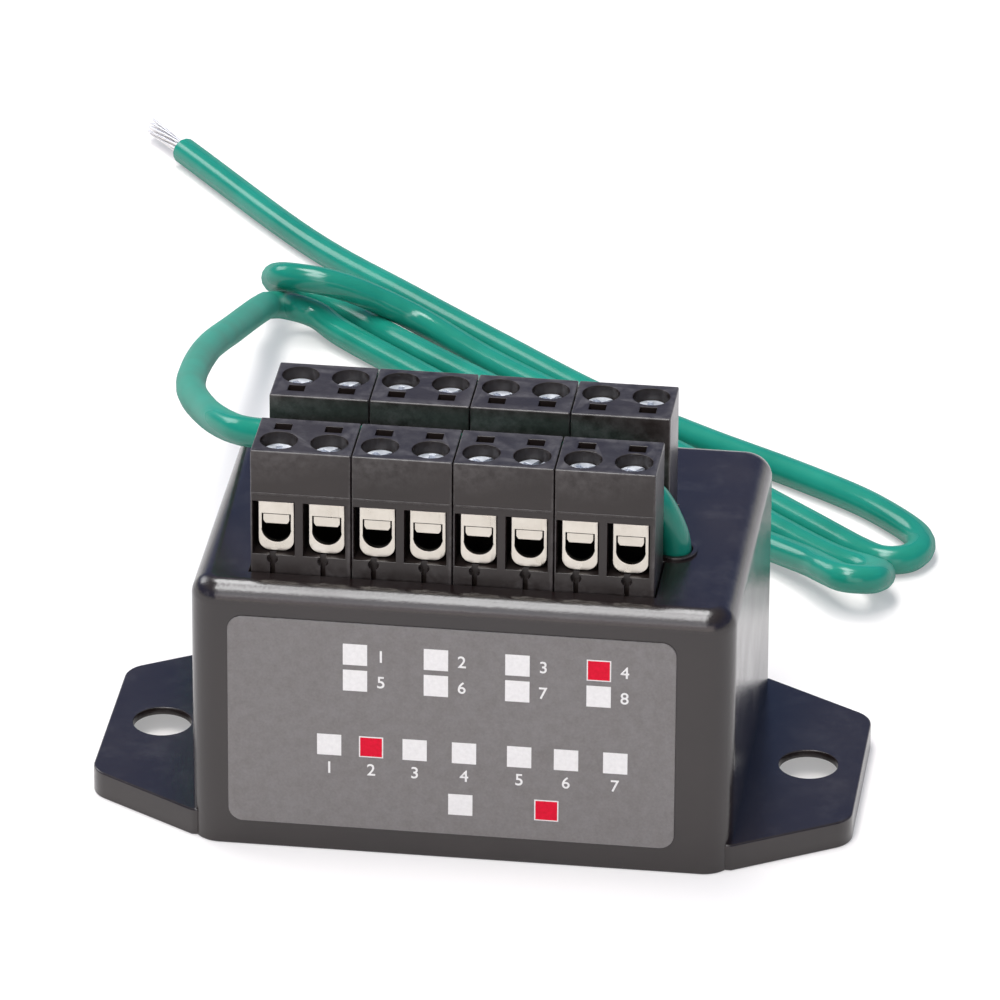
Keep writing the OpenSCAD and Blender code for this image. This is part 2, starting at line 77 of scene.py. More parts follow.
placeCamera(camera)
print("camera placed")


# steps that the shader groups and the materials share
def newGroup(name, inputs, outputs):
    group = bpy.data.node_groups.new(name, "ShaderNodeTree")
    for label, value in inputs:
        socket = group.interface.new_socket(name=label, in_out="INPUT", socket_type="NodeSocketFloat")
        socket.default_value = value
    for label in outputs:
        group.interface.new_socket(name=label, in_out="OUTPUT", socket_type="NodeSocketFloat")
    return group, group.nodes.new("NodeGroupInput"), group.nodes.new("NodeGroupOutput")


def addNode(tree, kind, **values):
    # a value goes to the input of that name, or else to the node's own setting
    made = tree.nodes.new(kind)
    for key, value in values.items():
        if key in made.inputs.keys():
            made.inputs[key].default_value = value
        else:
            setattr(made, key, value)
    return made


def addNoise(tree, scale, **values):
    place = addNode(tree, "ShaderNodeTexCoord")
    noise = addNode(tree, "ShaderNodeTexNoise", **values)
    tree.links.new(place.outputs["Object"], noise.inputs["Vector"])
    tree.links.new(scale, noise.inputs["Scale"])
    return noise.outputs["Fac"]


def addMath(tree, operation, *values, clamp=False):
    made = addNode(tree, "ShaderNodeMath", operation=operation, use_clamp=clamp)
    for socket, value in zip(made.inputs, values):
        tree.links.new(value, socket)
    return made.outputs[0]


def span(tree, value, source, target=(0, 1)):
    # moves a value from the source range to the target range
    made = addNode(tree, "ShaderNodeMapRange")
    made.inputs["From Min"].default_value, made.inputs["From Max"].default_value = source
    made.inputs["To Min"].default_value, made.inputs["To Max"].default_value = target
    tree.links.new(value, made.inputs["Value"])
    return made.outputs["Result"]


def blendColours(tree, mask, first, second):
    # first where the mask is 0, second where it is 1
    mix = addNode(tree, "ShaderNodeMix", data_type="RGBA")
    tree.links.new(mask, mix.inputs["Factor"])
    for socket, colour in ((mix.inputs[6], first), (mix.inputs[7], second)):
        if isinstance(colour, bpy.types.NodeSocket):
            tree.links.new(colour, socket)
        else:
            socket.default_value = (*colour, 1)
    return mix.outputs[2]


# the shader groups, and the ranges in which each effect sets in
effects = dict(mottle=(0.3, 0.7), edge=(0.52, 0.62), breakup=(0.35, 0.65), dustSpots=(0.5, 0.78),
               bloom=(0.5, 0.85))


def makeGrain():
    # pebbled moulding grain with a slow mottle over it
    inputs = [("Scale", 2500), ("Detail", 3), ("Slow Scale", 90)]
    group, start, end = newGroup("grain", inputs, ["Height", "Mottle"])
    fine = addNoise(group, start.outputs["Scale"], Roughness=0.6)
    slow = addNoise(group, start.outputs["Slow Scale"], Detail=4, Roughness=0.55)
    group.links.new(start.outputs["Detail"], fine.node.inputs["Detail"])
    group.links.new(fine, end.inputs["Height"])
    group.links.new(slow, end.inputs["Mottle"])
    return group


def makeEdgeWear():
    # paler, rubbed edges, broken up by a noise
    group, start, end = newGroup("edgeWear", [("Amount", 0.5), ("Breakup", 900)], ["Mask"])
    shape = addNode(group, "ShaderNodeNewGeometry")
    noise = addNoise(group, start.outputs["Breakup"], Detail=5, Roughness=0.7)
    edge = span(group, shape.outputs["Pointiness"], effects["edge"])
    rubbed = addMath(group, "MULTIPLY", edge, span(group, noise, effects["breakup"]))
    mask = addMath(group, "MULTIPLY", rubbed, start.outputs["Amount"], clamp=True)
    group.links.new(mask, end.inputs["Mask"])
    return group


def makeDust():
    # thin dust that settles on faces that look up
    group, start, end = newGroup("dust", [("Amount", 0.3), ("Scale", 260)], ["Mask"])
    shape = addNode(group, "ShaderNodeNewGeometry")
    split = addNode(group, "ShaderNodeSeparateXYZ")
    group.links.new(shape.outputs["Normal"], split.inputs[0])
    noise = addNoise(group, start.outputs["Scale"], Detail=8, Roughness=0.75)
    spots = span(group, noise, effects["dustSpots"])
    settled = addMath(group, "MULTIPLY", spots, split.outputs["Z"], clamp=True)
    mask = addMath(group, "MULTIPLY", settled, start.outputs["Amount"], clamp=True)
    group.links.new(mask, end.inputs["Mask"])
    return group


def makeDepthShade():
    # painted shade: 1 on metal that lies deeper in its row, where the recess is in shade, 0 at the lit front
    # ends
    inputs = [("Middle", 0), ("Clean", 0.0092), ("Dark", 0.0088)]
    group, start, end = newGroup("paintedDepthShade", inputs, ["Mask"])
    place = addNode(group, "ShaderNodeTexCoord")
    split = addNode(group, "ShaderNodeSeparateXYZ")
    group.links.new(place.outputs["Object"], split.inputs[0])
    offset = addMath(group, "SUBTRACT", split.outputs["Y"], start.outputs["Middle"])
    deep = addNode(group, "ShaderNodeMapRange")
    group.links.new(addMath(group, "ABSOLUTE", offset), deep.inputs["Value"])
    group.links.new(start.outputs["Clean"], deep.inputs["From Min"])
    group.links.new(start.outputs["Dark"], deep.inputs["From Max"])
    group.links.new(deep.outputs["Result"], end.inputs["Mask"])
    return group


grain, edgeWear, dust, paintedDepthShade = makeGrain(), makeEdgeWear(), makeDust(), makeDepthShade()


# one material for each finish
def newMaterial(name):
    mat = bpy.data.materials.new(name)
    mat.use_nodes = True
    return mat, mat.node_tree, mat.node_tree.nodes["Principled BSDF"]


def placeGroup(tree, group, **values):
    made = addNode(tree, "ShaderNodeGroup", node_tree=group)
    for label, value in values.items():
        made.inputs[label.replace("_", " ")].default_value = value
    return made


# what a finish has where its own line below says nothing; depth and the depths of the painted shade are in
# millimetres
plainFinish = dict(detail=3, slow=90, bump=0.3, depth=0.05, metal=0, specular=0.5, wear=0, breakup=900,
                   dust=0, dustScale=260, dustColour=(0.3, 0.29, 0.28), paintedShade=None, grazeRough=0)


def newSurface(name, s):
    # s holds dark and light colours, a roughness pair, grain size and depth, wear and dust
    s = {**plainFinish, **s}
    mat, tree, shader = newMaterial(name)
    skin = placeGroup(tree, grain, Scale=s["grain"], Detail=s["detail"], Slow_Scale=s["slow"])
    colour = blendColours(tree, span(tree, skin.outputs["Mottle"], effects["mottle"]), s["dark"], s["light"])
    rough = span(tree, skin.outputs["Mottle"], effects["mottle"], s["rough"])
    if s["grazeRough"]:
        # a bloom that dulls the gloss where the surface turns away
        facing = addNode(tree, "ShaderNodeLayerWeight", Blend=0.5)
        bloom = span(tree, facing.outputs["Facing"], effects["bloom"], (0, s["grazeRough"]))
        rough = addMath(tree, "ADD", rough, bloom)
    if s["wear"]:
        worn = placeGroup(tree, edgeWear, Amount=s["wear"], Breakup=s["breakup"])
        colour = blendColours(tree, worn.outputs["Mask"], colour, s["wornColour"])
    if s["dust"]:
        dusty = placeGroup(tree, dust, Amount=s["dust"], Scale=s["dustScale"])
        colour = blendColours(tree, dusty.outputs["Mask"], colour, s["dustColour"])
    # painted shade: metal deeper in its row is darkened to a near-black colour, where shade falls inside the
    # recess
    if s["paintedShade"]:
        middle = (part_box("front_terminal_block_1")[0][1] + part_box("rear_terminal_block_1")[1][1]) / 2
        litEnd, dark = s["paintedShade"]
        deep = placeGroup(tree, paintedDepthShade, Middle=middle, Clean=litEnd * mm, Dark=dark * mm)
        colour = blendColours(tree, deep.outputs["Mask"], colour, s["paintedShadeColour"])
    bump = addNode(tree, "ShaderNodeBump", Strength=s["bump"], Distance=s["depth"] * mm)
    tree.links.new(skin.outputs["Height"], bump.inputs["Height"])
    tree.links.new(colour, shader.inputs["Base Color"])
    tree.links.new(rough, shader.inputs["Roughness"])
    tree.links.new(bump.outputs["Normal"], shader.inputs["Normal"])
    shader.inputs["Metallic"].default_value = s["metal"]
    shader.inputs["Specular IOR Level"].default_value = s["specular"]
    return mat


surfaces = {
    "mouldedBlack": dict(
        dark=(0.01, 0.006, 0.0055), light=(0.015, 0.0095, 0.0085), rough=(0.19, 0.27), grain=2600, bump=0.4,
        specular=0.66, wear=0.25, wornColour=(0.09, 0.085, 0.08), dust=0.07),
    "terminalBlack": dict(
        dark=(0.015, 0.0105, 0.009), light=(0.022, 0.016, 0.014), rough=(0.27, 0.37), grain=4200, depth=0.04,
        specular=0.45, wear=0.5, wornColour=(0.12, 0.11, 0.105), dust=0.12),
    "labelFilm": dict(
        dark=(0.155, 0.144, 0.136), light=(0.185, 0.172, 0.163), rough=(0.4, 0.5), grain=5200, slow=4200,
        bump=0.15, depth=0.02, specular=0.4, wear=0.5, wornColour=(0.34, 0.34, 0.34)),
    "inkWhite": dict(
        dark=(0.76, 0.745, 0.715), light=(0.84, 0.825, 0.795), rough=(0.5, 0.6), grain=5200, slow=2400,
        bump=0.15, depth=0.02),
    "inkRed": dict(
        dark=(0.62, 0.001, 0.02), light=(0.74, 0.002, 0.032), rough=(0.45, 0.55), grain=5200, slow=2400,
        bump=0.15, depth=0.02, specular=0.2),
    # the clamps' deeper metal takes a near-black painted shade
    "clampNickel": dict(
        dark=(0.54, 0.505, 0.44), light=(0.655, 0.62, 0.55), rough=(0.26, 0.38), grain=3000, slow=500,
        bump=0.25, depth=0.03, metal=1, wear=0.3, wornColour=(0.86, 0.83, 0.78), paintedShade=(9.25, 8.75),
        paintedShadeColour=(0.02, 0.018, 0.014)),
    "screwZinc": dict(
        dark=(0.68, 0.72, 0.78), light=(0.88, 0.9, 0.94), rough=(0.42, 0.6), grain=2600, slow=700,
        bump=0.6, depth=0.06, metal=1, wear=0.4, wornColour=(0.85, 0.86, 0.88)),
    # the contacts' deeper metal takes a near-black painted shade
    "contactTin": dict(
        dark=(0.54, 0.505, 0.44), light=(0.655, 0.62, 0.55), rough=(0.28, 0.4), grain=2400, slow=400,
        bump=0.2, depth=0.03, metal=1, paintedShade=(9.2, 8.7), paintedShadeColour=(0.02, 0.018, 0.014)),
    "pottingResin": dict(
        dark=(0.016, 0.016, 0.018), light=(0.028, 0.028, 0.03), rough=(0.22, 0.4), grain=420, detail=2, slow=60,
        depth=0.25),
    "boardLacquer": dict(
        dark=(0.012, 0.09, 0.03), light=(0.02, 0.13, 0.045), rough=(0.3, 0.4), grain=2200, slow=300,
        bump=0.15, depth=0.03),
    "tubeCeramic": dict(
        dark=(0.62, 0.6, 0.57), light=(0.75, 0.73, 0.7), rough=(0.3, 0.42), grain=1800, slow=300, bump=0.2,
        depth=0.04),
    "diodeBlack": dict(
        dark=(0.02, 0.02, 0.02), light=(0.035, 0.034, 0.034), rough=(0.5, 0.6), grain=3200, bump=0.4,
        depth=0.06),
    "resistorTan": dict(
        dark=(0.32, 0.2, 0.11), light=(0.45, 0.3, 0.18), rough=(0.35, 0.45), grain=1800, slow=500, bump=0.2),
    "busCopper": dict(
        dark=(0.55, 0.33, 0.2), light=(0.72, 0.46, 0.3), rough=(0.28, 0.42), grain=1500, slow=250, bump=0.2,
        depth=0.04, metal=1),
    "wireGreen": dict(
        dark=(0.007, 0.185, 0.125), light=(0.012, 0.25, 0.175), rough=(0.15, 0.21), grain=1400, slow=120,
        bump=0.05, depth=0.04, specular=0.4, grazeRough=0.45),
    "strandTin": dict(
        dark=(0.72, 0.7, 0.68), light=(0.9, 0.88, 0.86), rough=(0.3, 0.45), grain=2600, slow=700, bump=0.2,
        depth=0.03, metal=1),
}
finish = {name: newSurface(name, values) for name, values in surfaces.items()}
print("materials made:", len(finish))


def wear(obj, name):
    obj.data.materials.clear()
    obj.data.materials.append(finish[name])


def toMesh(name, bm):
    mesh = bpy.data.meshes.new(name)
    bm.to_mesh(mesh)
    bm.free()
    return mesh


def addPiece(name, data, material, stands=(), body="base"):
    # stands names the CAD nodes that the piece replaces
    obj = addObject(name, data)
    wear(obj, material)
    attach(obj, body)
    if stands:
        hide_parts(*stands)
    return obj


def newCurve(name, thickness, ringSteps):
    data = bpy.data.curves.new(name, "CURVE")
    data.dimensions = "3D"
    data.bevel_depth = thickness / 2 * mm
    data.bevel_resolution = ringSteps
    data.use_fill_caps = True
    return data


# thickness in mm, length in metres
wire = dict(thickness=3.1, length=0.590, ringSteps=6, curveSteps=8)
# millimetres: over the box from the board and the middle of the gap between the rows, then
# behind it from its back and the floor
wireOverBox = [
    (19.9, 0.1, 0), (19.7, 0.1, 3.9), (16.8, 0.1, 8.7), (10.5, 0.1, 11.5),
    (-4, 0.1, 11.9), (-16, 0.1, 12.1), (-21.4, 0.4, 12), (-25.3, 2.4, 11.5), (-29.3, 9.6, 9.7),
]
wireBehindBox = [
    (-33.4, 1.2, 31.4), (-36, 27.4, 22.5), (-36.6, 51.3, 13.8), (-36.5, 65.3, 9),
    (-36.5, 71.2, 6.8), (-36.7, 75.1, 5.1), (-35.1, 78.2, 3.7), (-31.8, 78.6, 2.6),
    (-28.2, 75.5, 1.9), (-19, 67.4, 1.6), (-8, 57.5, 1.6), (5, 45.7, 1.6),
    (16, 36.1, 1.8), (23.5, 30.2, 2.3), (28.6, 25.2, 3.2), (30.9, 22.2, 3.8),
    (33.1, 20.1, 4.1), (35.8, 20.7, 3.8), (36.7, 23.5, 3), (34.9, 26.5, 2),
    (31, 29.4, 1.6), (25, 34.7, 1.6), (14, 45.2, 1.6), (0, 56.6, 1.6),
    (-12, 66.4, 1.6), (-22, 75.2, 1.6), (-27.4, 80.2, 1.6), (-31.2, 83.1, 1.8),
    (-34.6, 84.1, 2.8), (-36.6, 82.7, 4.4), (-36.6, 80.3, 6.2), (-34.6, 78.3, 7.3),
    (-30.8, 77.7, 7.2), (-27.4, 78.2, 6.1), (-23.5, 78.8, 4.2), (-19, 77.8, 2.5),
    (-11, 71.2, 1.6), (2, 60, 1.6), (16, 47.8, 1.6), (27, 37.6, 1.6),
    (31, 33.8, 1.6), (33.6, 31.4, 1.6), (36.2, 29.7, 1.6), (38.9, 30.3, 1.6),
    (40.1, 32.9, 1.6), (39.3, 36, 1.6), (36.2, 39.8, 1.6), (31.8, 43.8, 1.6),
    (24, 49.2, 1.6), (14, 55.5, 1.6), (2, 64.1, 1.6), (-10, 74.9, 1.6),
    (-22, 86.1, 1.6), (-35.6, 99.3, 1.6), (-53.6, 121.9, 1.6),
]


def routeOfWire():
    gap = (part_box("front_terminal_block_1")[1][1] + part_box("rear_terminal_block_1")[0][1]) / 2
    start = Vector((0, gap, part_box("circuit_board")[1][2]))
    back = Vector((0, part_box("housing")[1][1], 0))
    return [start + Vector(p) * mm for p in wireOverBox] + [back + Vector(p) * mm for p in wireBehindBox]


def layWire(w, points):
    # one smooth curve, each point's handles parallel to the line between its neighbours
    data = newCurve("groundWire", w["thickness"], w["ringSteps"])
    data.resolution_u = w["curveSteps"]
    spline = data.splines.new("BEZIER")
    spline.bezier_points.add(len(points) - 1)
    for i, p in enumerate(points):
        before = points[i - 1] if i else 2 * p - points[1]
        after = points[i + 1] if i < len(points) - 1 else 2 * p - points[-2]
        knot = spline.bezier_points[i]
        knot.co = p
        knot.handle_left_type = knot.handle_right_type = "FREE"
        knot.handle_left = p - (after - before) / 6
        knot.handle_right = p + (after - before) / 6
    return addPiece("groundWire", data, "wireGreen", ["ground_wire"])


# millimetres and degrees; the second number of a pair sets how it changes from strand to strand
strands = dict(count=12, inner=3, thickness=0.3, length=8.0, innerRing=0.2, outerRing=0.62, ringSteps=2,
               steps=8, twist=70, rootDepth=0.3, opening=0.22, openingSpread=(0.6, 2.3), shortening=(0.05, 1.7))


def makeStrands(s, route):
    # bare strands, twisted a little and opened at the tip
    end, before = route[-1], route[-2]
    ahead = (end - before).normalized()
    side = ahead.cross(Vector((0, 0, 1))).normalized()
    up = side.cross(ahead)
    data = newCurve("bareStrands", s["thickness"], s["ringSteps"])
    spread, spreadStep = s["openingSpread"]
    short, shortStep = s["shortening"]
    for k in range(s["count"]):
        inside = k < s["inner"]
        ring = s["innerRing"] if inside else s["outerRing"]
        start = 2 * pi * k / (s["inner"] if inside else s["count"] - s["inner"])
        spline = data.splines.new("POLY")
        spline.points.add(s["steps"])
        for j in range(s["steps"] + 1):
            t = j / s["steps"]
            angle = start + t * radians(s["twist"])
            out = ring * (1 + s["opening"] * t * t * (1 + spread * sin(spreadStep * k)))
            reach = s["length"] * t * (1 - short * (1 + cos(shortStep * k))) - s["rootDepth"] * (1 - t)
            p = end + ahead * reach * mm + (side * cos(angle) + up * sin(angle)) * out * mm
            spline.points[j].co = (*p, 1)
    return addPiece("bareStrands", data, "strandTin", ["ground_wire_tip"])


wireRoute = routeOfWire()
groundWire = layWire(wire, wireRoute)
bareStrands = makeStrands(strands, wireRoute)
print("ground wire laid")


# dressed copies of the moulded and machined pieces: distances in metres, angles in degrees
copying = dict(join=1e-6, flat=0.6, cut=1e-7, same=2e-5, sharp=30, crease=32)


def mergedCopy(node):
    bm = bmesh.new()
    bm.from_mesh(nodes[node].data)
    bmesh.ops.remove_doubles(bm, verts=bm.verts, dist=copying["join"])
    bmesh.ops.dissolve_limit(bm, angle_limit=radians(copying["flat"]), verts=bm.verts, edges=bm.edges)
    for layer in list(bm.loops.layers.float_vector.values()):
        bm.loops.layers.float_vector.remove(layer)
    return bm


def roundEdges(bm, edges, width, segments, clamped=False):
    bmesh.ops.bevel(bm, geom=edges, offset=width * mm, affect="EDGES", segments=segments, profile=0.5,
                    material=-1, clamp_overlap=clamped)


def soften(bm, wanted, width, segments):
    # rounds the sharp outward edges that the test picks
    edges = [e for e in bm.edges if len(e.link_faces) == 2 and e.is_convex
             and e.calc_face_angle() > radians(copying["sharp"]) and wanted(*(v.co for v in e.verts))]
    roundEdges(bm, edges, width, segments, clamped=True)


def shadeByAngle(bm):
    for face in bm.faces:
        face.smooth = True
    for edge in bm.edges:
        edge.smooth = len(edge.link_faces) == 2 and edge.calc_face_angle() < radians(copying["crease"])


def evenNormals(obj):
    # keeps large flat faces flat beside their rounded edges
    obj.modifiers.new("evenNormals", "WEIGHTED_NORMAL").keep_sharp = True


def near(a, b):
    return abs(a - b) < copying["same"]


def addBar(bm, low, high):
    # closed bar between two corners in metres
    made = bmesh.ops.create_cube(bm, size=1)
    bmesh.ops.scale(bm, vec=high - low, verts=made["verts"])
    bmesh.ops.translate(bm, vec=(low + high) / 2, verts=made["verts"])
    return made["verts"]


# edges here and below: width in mm and number of segments
block = dict(edge=(0.16, 3), mouth=(0.1, 2), entry=(0.08, 1), ridgeLevel=37.65, ridgeHeight=0.26,
             ridgeProud=0.06, ridgeRoot=0.1, ridgeEdge=(0.05, 2))


def addRidge(bm, b, low, high, front):
    # moulding ridge across the wire face
    face, out = (low.y, -1) if front else (high.y, 1)
    proud, root = face + out * b["ridgeProud"] * mm, face - out * b["ridgeRoot"] * mm
    inset, level = b["edge"][0] * mm, b["ridgeLevel"] * mm
    ridge = addBar(bm, Vector((low.x + inset, min(proud, root), level)),
                   Vector((high.x - inset, max(proud, root), level + b["ridgeHeight"] * mm)))
    edges = {e for v in ridge for e in v.link_edges if all(near(w.co.y, proud) for w in e.verts)}
    roundEdges(bm, list(edges), *b["ridgeEdge"])


def dressBlock(node, front):
    bm = mergedCopy(node)
    low, high = (Vector(c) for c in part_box(node))

    def outer(p, q):
        # edges between two of the block's outer faces, not those at its foot
        hits = 0
        for axis in (0, 1, 2):
            for side in ((low, high) if axis < 2 else (high,)):
                hits += near(p[axis], side[axis]) and near(q[axis], side[axis])
        return hits >= 2

    soften(bm, outer, *block["edge"])
    soften(bm, lambda p, q: near(p.z, high.z) and near(q.z, high.z), *block["mouth"])
    soften(bm, lambda p, q: any(near(p.y, s.y) and near(q.y, s.y) for s in (low, high)), *block["entry"])
    shadeByAngle(bm)
    addRidge(bm, block, low, high, front)
    name = node + "Dressed"
    evenNormals(addPiece(name, toMesh(name, bm), "terminalBlack", [node]))


# millimetres, levels over the floor; barLevel and inner enclose the contact bar
clamp = dict(edge=(0.08, 2), barLevel=33.6, inner=1.6, roofEdge=0.1, seamFrom=1.17, seamWidth=0.08,
             seamDepth=0.06, seamLow=35.4, seamHigh=36.44)


def cutSeam(bm, c, middle, wall, inward):
    # folded seam of the cage, sunk into the outer end of its roof
    left = middle + c["seamFrom"] * mm
    right = left + c["seamWidth"] * mm
    low, high = c["seamLow"] * mm, c["seamHigh"] * mm
    for spot, facing in ((left, (1, 0, 0)), (right, (1, 0, 0)), (low, (0, 0, 1)), (high, (0, 0, 1))):
        bmesh.ops.bisect_plane(bm, geom=bm.verts[:] + bm.edges[:] + bm.faces[:], dist=copying["cut"],
                               plane_co=[spot * axis for axis in facing], plane_no=facing)
    strip = []
    for face in bm.faces:
        centre = face.calc_center_median()
        if near(centre.y, wall) and left < centre.x < right and low < centre.z < high:
            strip.append(face)
    made = bmesh.ops.extrude_face_region(bm, geom=strip)
    bmesh.ops.delete(bm, geom=strip, context="FACES_ONLY")
    moved = [g for g in made["geom"] if isinstance(g, bmesh.types.BMVert)]
    bmesh.ops.translate(bm, vec=(0, inward * c["seamDepth"] * mm, 0), verts=moved)


def dressClamp(node, front):
    bm = mergedCopy(node)
    low, high = (Vector(c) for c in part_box(node))
    middle, barLevel = (low.x + high.x) / 2, clamp["barLevel"] * mm
    inner, roof = clamp["inner"] * mm, high.z - clamp["roofEdge"] * mm

    def picked(p, q):
        # the end faces' edges, but not those that close in on the contact bar
        atEnd = any(near(p.y, s.y) and near(q.y, s.y) for s in (low, high))
        atBar = min(p.z, q.z) > barLevel and all(abs(v.x - middle) < inner and v.z < roof for v in (p, q))
        return atEnd and not atBar

    soften(bm, picked, *clamp["edge"])
    cutSeam(bm, clamp, middle, low.y if front else high.y, 1 if front else -1)
    shadeByAngle(bm)
    name = node + "Dressed"
    evenNormals(addPiece(name, toMesh(name, bm), "clampNickel", [node], body=node))


screw = dict(edge=(0.05, 2))


def dressScrew(node):
    bm = mergedCopy(node)
    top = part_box(node)[1][2]
    soften(bm, lambda p, q: near(p.z, top) and near(q.z, top), *screw["edge"])
    shadeByAngle(bm)
    name = node + "Dressed"
    evenNormals(addPiece(name, toMesh(name, bm), "screwZinc", [node], body=node))


for row in ("front", "rear"):
    for i in range(1, 5):
        dressBlock(f"{row}_terminal_block_{i}", row == "front")
    for i in range(1, 9):
        dressClamp(f"{row}_clamp_{i}", row == "front")
        dressScrew(f"{row}_screw_{i}")
print("terminal blocks, clamps and screws dressed")


# millimetres; boxSide, cavity and relief only tell the edges apart, and are half sizes
housing = dict(earTop=2.9, topLevel=29.1, rimTop=29.4, boxSide=26.5, holeX=33.3, holeRadius=3, holeSlack=0.1,
               cavity=(25.3, 17.3), relief=(4.3, 8.3), earEdge=(0.22, 3), holeEdge=(0.15, 2),
               windowEdge=(0.12, 2), rimEdge=(0.12, 2), footEdge=(0.15, 2))


def dressHousing(h):
    bm = mergedCopy("housing")
    cavityX, cavityY = h["cavity"]
    reliefX, reliefY = h["relief"]

    def atLevel(level, *ends):
        return all(near(v.z, level * mm) for v in ends)

    def onHole(v):
        away = hypot(abs(v.x) / mm - h["holeX"], v.y / mm)
        return abs(away - h["holeRadius"]) < h["holeSlack"]

    def inside(v):
        inCavity = abs(v.x) < cavityX * mm and abs(v.y) < cavityY * mm
        inRelief = abs(abs(v.x) / mm - h["holeX"]) < reliefX and abs(v.y) < reliefY * mm
        return inCavity or inRelief

    def onEar(p, q):
        return atLevel(h["earTop"], p, q) and abs(p.x) > h["boxSide"] * mm and not onHole(p)

    soften(bm, onEar, *h["earEdge"])
    soften(bm, lambda p, q: atLevel(h["earTop"], p, q) and onHole(p) and onHole(q), *h["holeEdge"])
    soften(bm, lambda p, q: atLevel(h["topLevel"], p, q), *h["windowEdge"])
    soften(bm, lambda p, q: atLevel(h["rimTop"], p, q), *h["rimEdge"])
    soften(bm, lambda p, q: atLevel(0, p, q) and not inside(p) and not inside(q), *h["footEdge"])
    shadeByAngle(bm)
    name = "housingDressed"
    evenNormals(addPiece(name, toMesh(name, bm), "mouldedBlack", ["housing"]))


dressHousing(housing)
print("housing dressed")


# squares and marks as width and height in mm; root is how deep they go into the film
label = dict(corner=(1.5, 10), edge=(0.06, 2), square=(2.45, 2.35), mark=(2.2, 2.1), proud=0.02, root=0.05)
# places of the squares, x from the middle and z from the floor, in mm
upperX, lowerX = (-10.51, -2.37, 5.81, 13.97), (0.14, 8.83)
middleX = (-13.13, -8.89, -4.49, 0.49, 6.05, 10.77, 15.72)
squareRows = ((upperX, 22.45), (upperX, 19.54), (middleX, 12.12), (lowerX, 6.24))
squares = [(x, z) for places, z in squareRows for x in places]
marked = [(upperX[3], 22.45), (middleX[1], 12.12), (lowerX[1], 6.24)]


def makeLabel():
    low, high = (Vector(c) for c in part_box("rating_label"))
    bm = bmesh.new()
    addBar(bm, low, high)
    corners = [e for e in bm.edges if all(near(e.verts[0].co[axis], e.verts[1].co[axis]) for axis in (0, 2))]
    roundEdges(bm, corners, *label["corner"])
    front = [e for e in bm.edges if all(near(v.co.y, low.y) for v in e.verts)]
    roundEdges(bm, front, *label["edge"])
    shadeByAngle(bm)
    evenNormals(addPiece("labelPlate", toMesh("labelPlate", bm), "labelFilm", ["rating_label"]))
    return low.y


labelFace = makeLabel()


def printSquares(name, places, size, proud, material):
    bm = bmesh.new()
    for x, z in places:
        low = Vector((x - size[0] / 2, labelFace / mm - proud, z - size[1] / 2)) * mm
        high = Vector((x + size[0] / 2, labelFace / mm + label["root"], z + size[1] / 2)) * mm
        addBar(bm, low, high)
    addPiece(name, toMesh(name, bm), material)


# millimetres, but thickness, weight and join are shares of the letter's own size
digits = dict(height=1.3, thickness=0.025, weight=0.008, join=1e-5, curveSteps=4, sink=0.02,
              besideSquare=2.6, besideLevels=(22.4, 19.5), underLevel=9.55)


def addDigit(bm, d, text, x, z):
    data = bpy.data.curves.new("digit", "FONT")
    data.body, data.extrude, data.offset, data.resolution_u = text, d["thickness"], d["weight"], d["curveSteps"]
    holder = addObject("digit", data)
    mesh = bpy.data.meshes.new_from_object(holder)
    one = bmesh.new()
    one.from_mesh(mesh)
    bmesh.ops.remove_doubles(one, verts=one.verts, dist=d["join"])
    bmesh.ops.recalc_face_normals(one, faces=one.faces)
    spots = [v.co for v in one.verts]
    low, high = (Vector([pick(c[k] for c in spots) for k in range(3)]) for pick in (min, max))
    grow = d["height"] * mm / (high.y - low.y)
    bmesh.ops.translate(one, vec=-(low + high) / 2, verts=one.verts)
    bmesh.ops.scale(one, vec=(grow, grow, grow), verts=one.verts)
    bmesh.ops.rotate(one, cent=(0, 0, 0), matrix=Matrix.Rotation(pi / 2, 3, "X"), verts=one.verts)
    bmesh.ops.translate(one, vec=(x * mm, labelFace + d["sink"] * mm, z * mm), verts=one.verts)
    one.to_mesh(mesh)
    one.free()
    bm.from_mesh(mesh)
    bpy.data.objects.remove(holder)
    bpy.data.curves.remove(data)
    bpy.data.meshes.remove(mesh)


def printNumbers(d):
    # plain terminal numbers, beside the upper squares and under the middle ones
    bm = bmesh.new()
    for i, x in enumerate(upperX):
        for k, level in enumerate(d["besideLevels"]):
            addDigit(bm, d, str(i + 1 + k * len(upperX)), x + d["besideSquare"], level)
    for i, x in enumerate(middleX):
        addDigit(bm, d, str(i + 1), x, d["underLevel"])
    addPiece("labelNumbers", toMesh("labelNumbers", bm), "inkWhite")


printSquares("whiteSquares", squares, label["square"], label["proud"], "inkWhite")
printSquares("redMarks", marked, label["mark"], 2 * label["proud"], "inkRed")
printNumbers(digits)
print("label printed")


# the pieces inside keep their CAD shape
innerFinishes = {
    "potting_compound": "pottingResin", "circuit_board": "boardLacquer", "front_contacts": "contactTin",
    "rear_contacts": "contactTin", "series_resistors": "resistorTan", "ground_bus": "busCopper",
}
for i in range(1, 5):
    innerFinishes[f"gas_tube_{i}"] = "tubeCeramic"
    innerFinishes[f"avalanche_diode_{i}"] = "diodeBlack"
for node, name in innerFinishes.items():
    wear(nodes[node], name)
print("inner pieces finished")


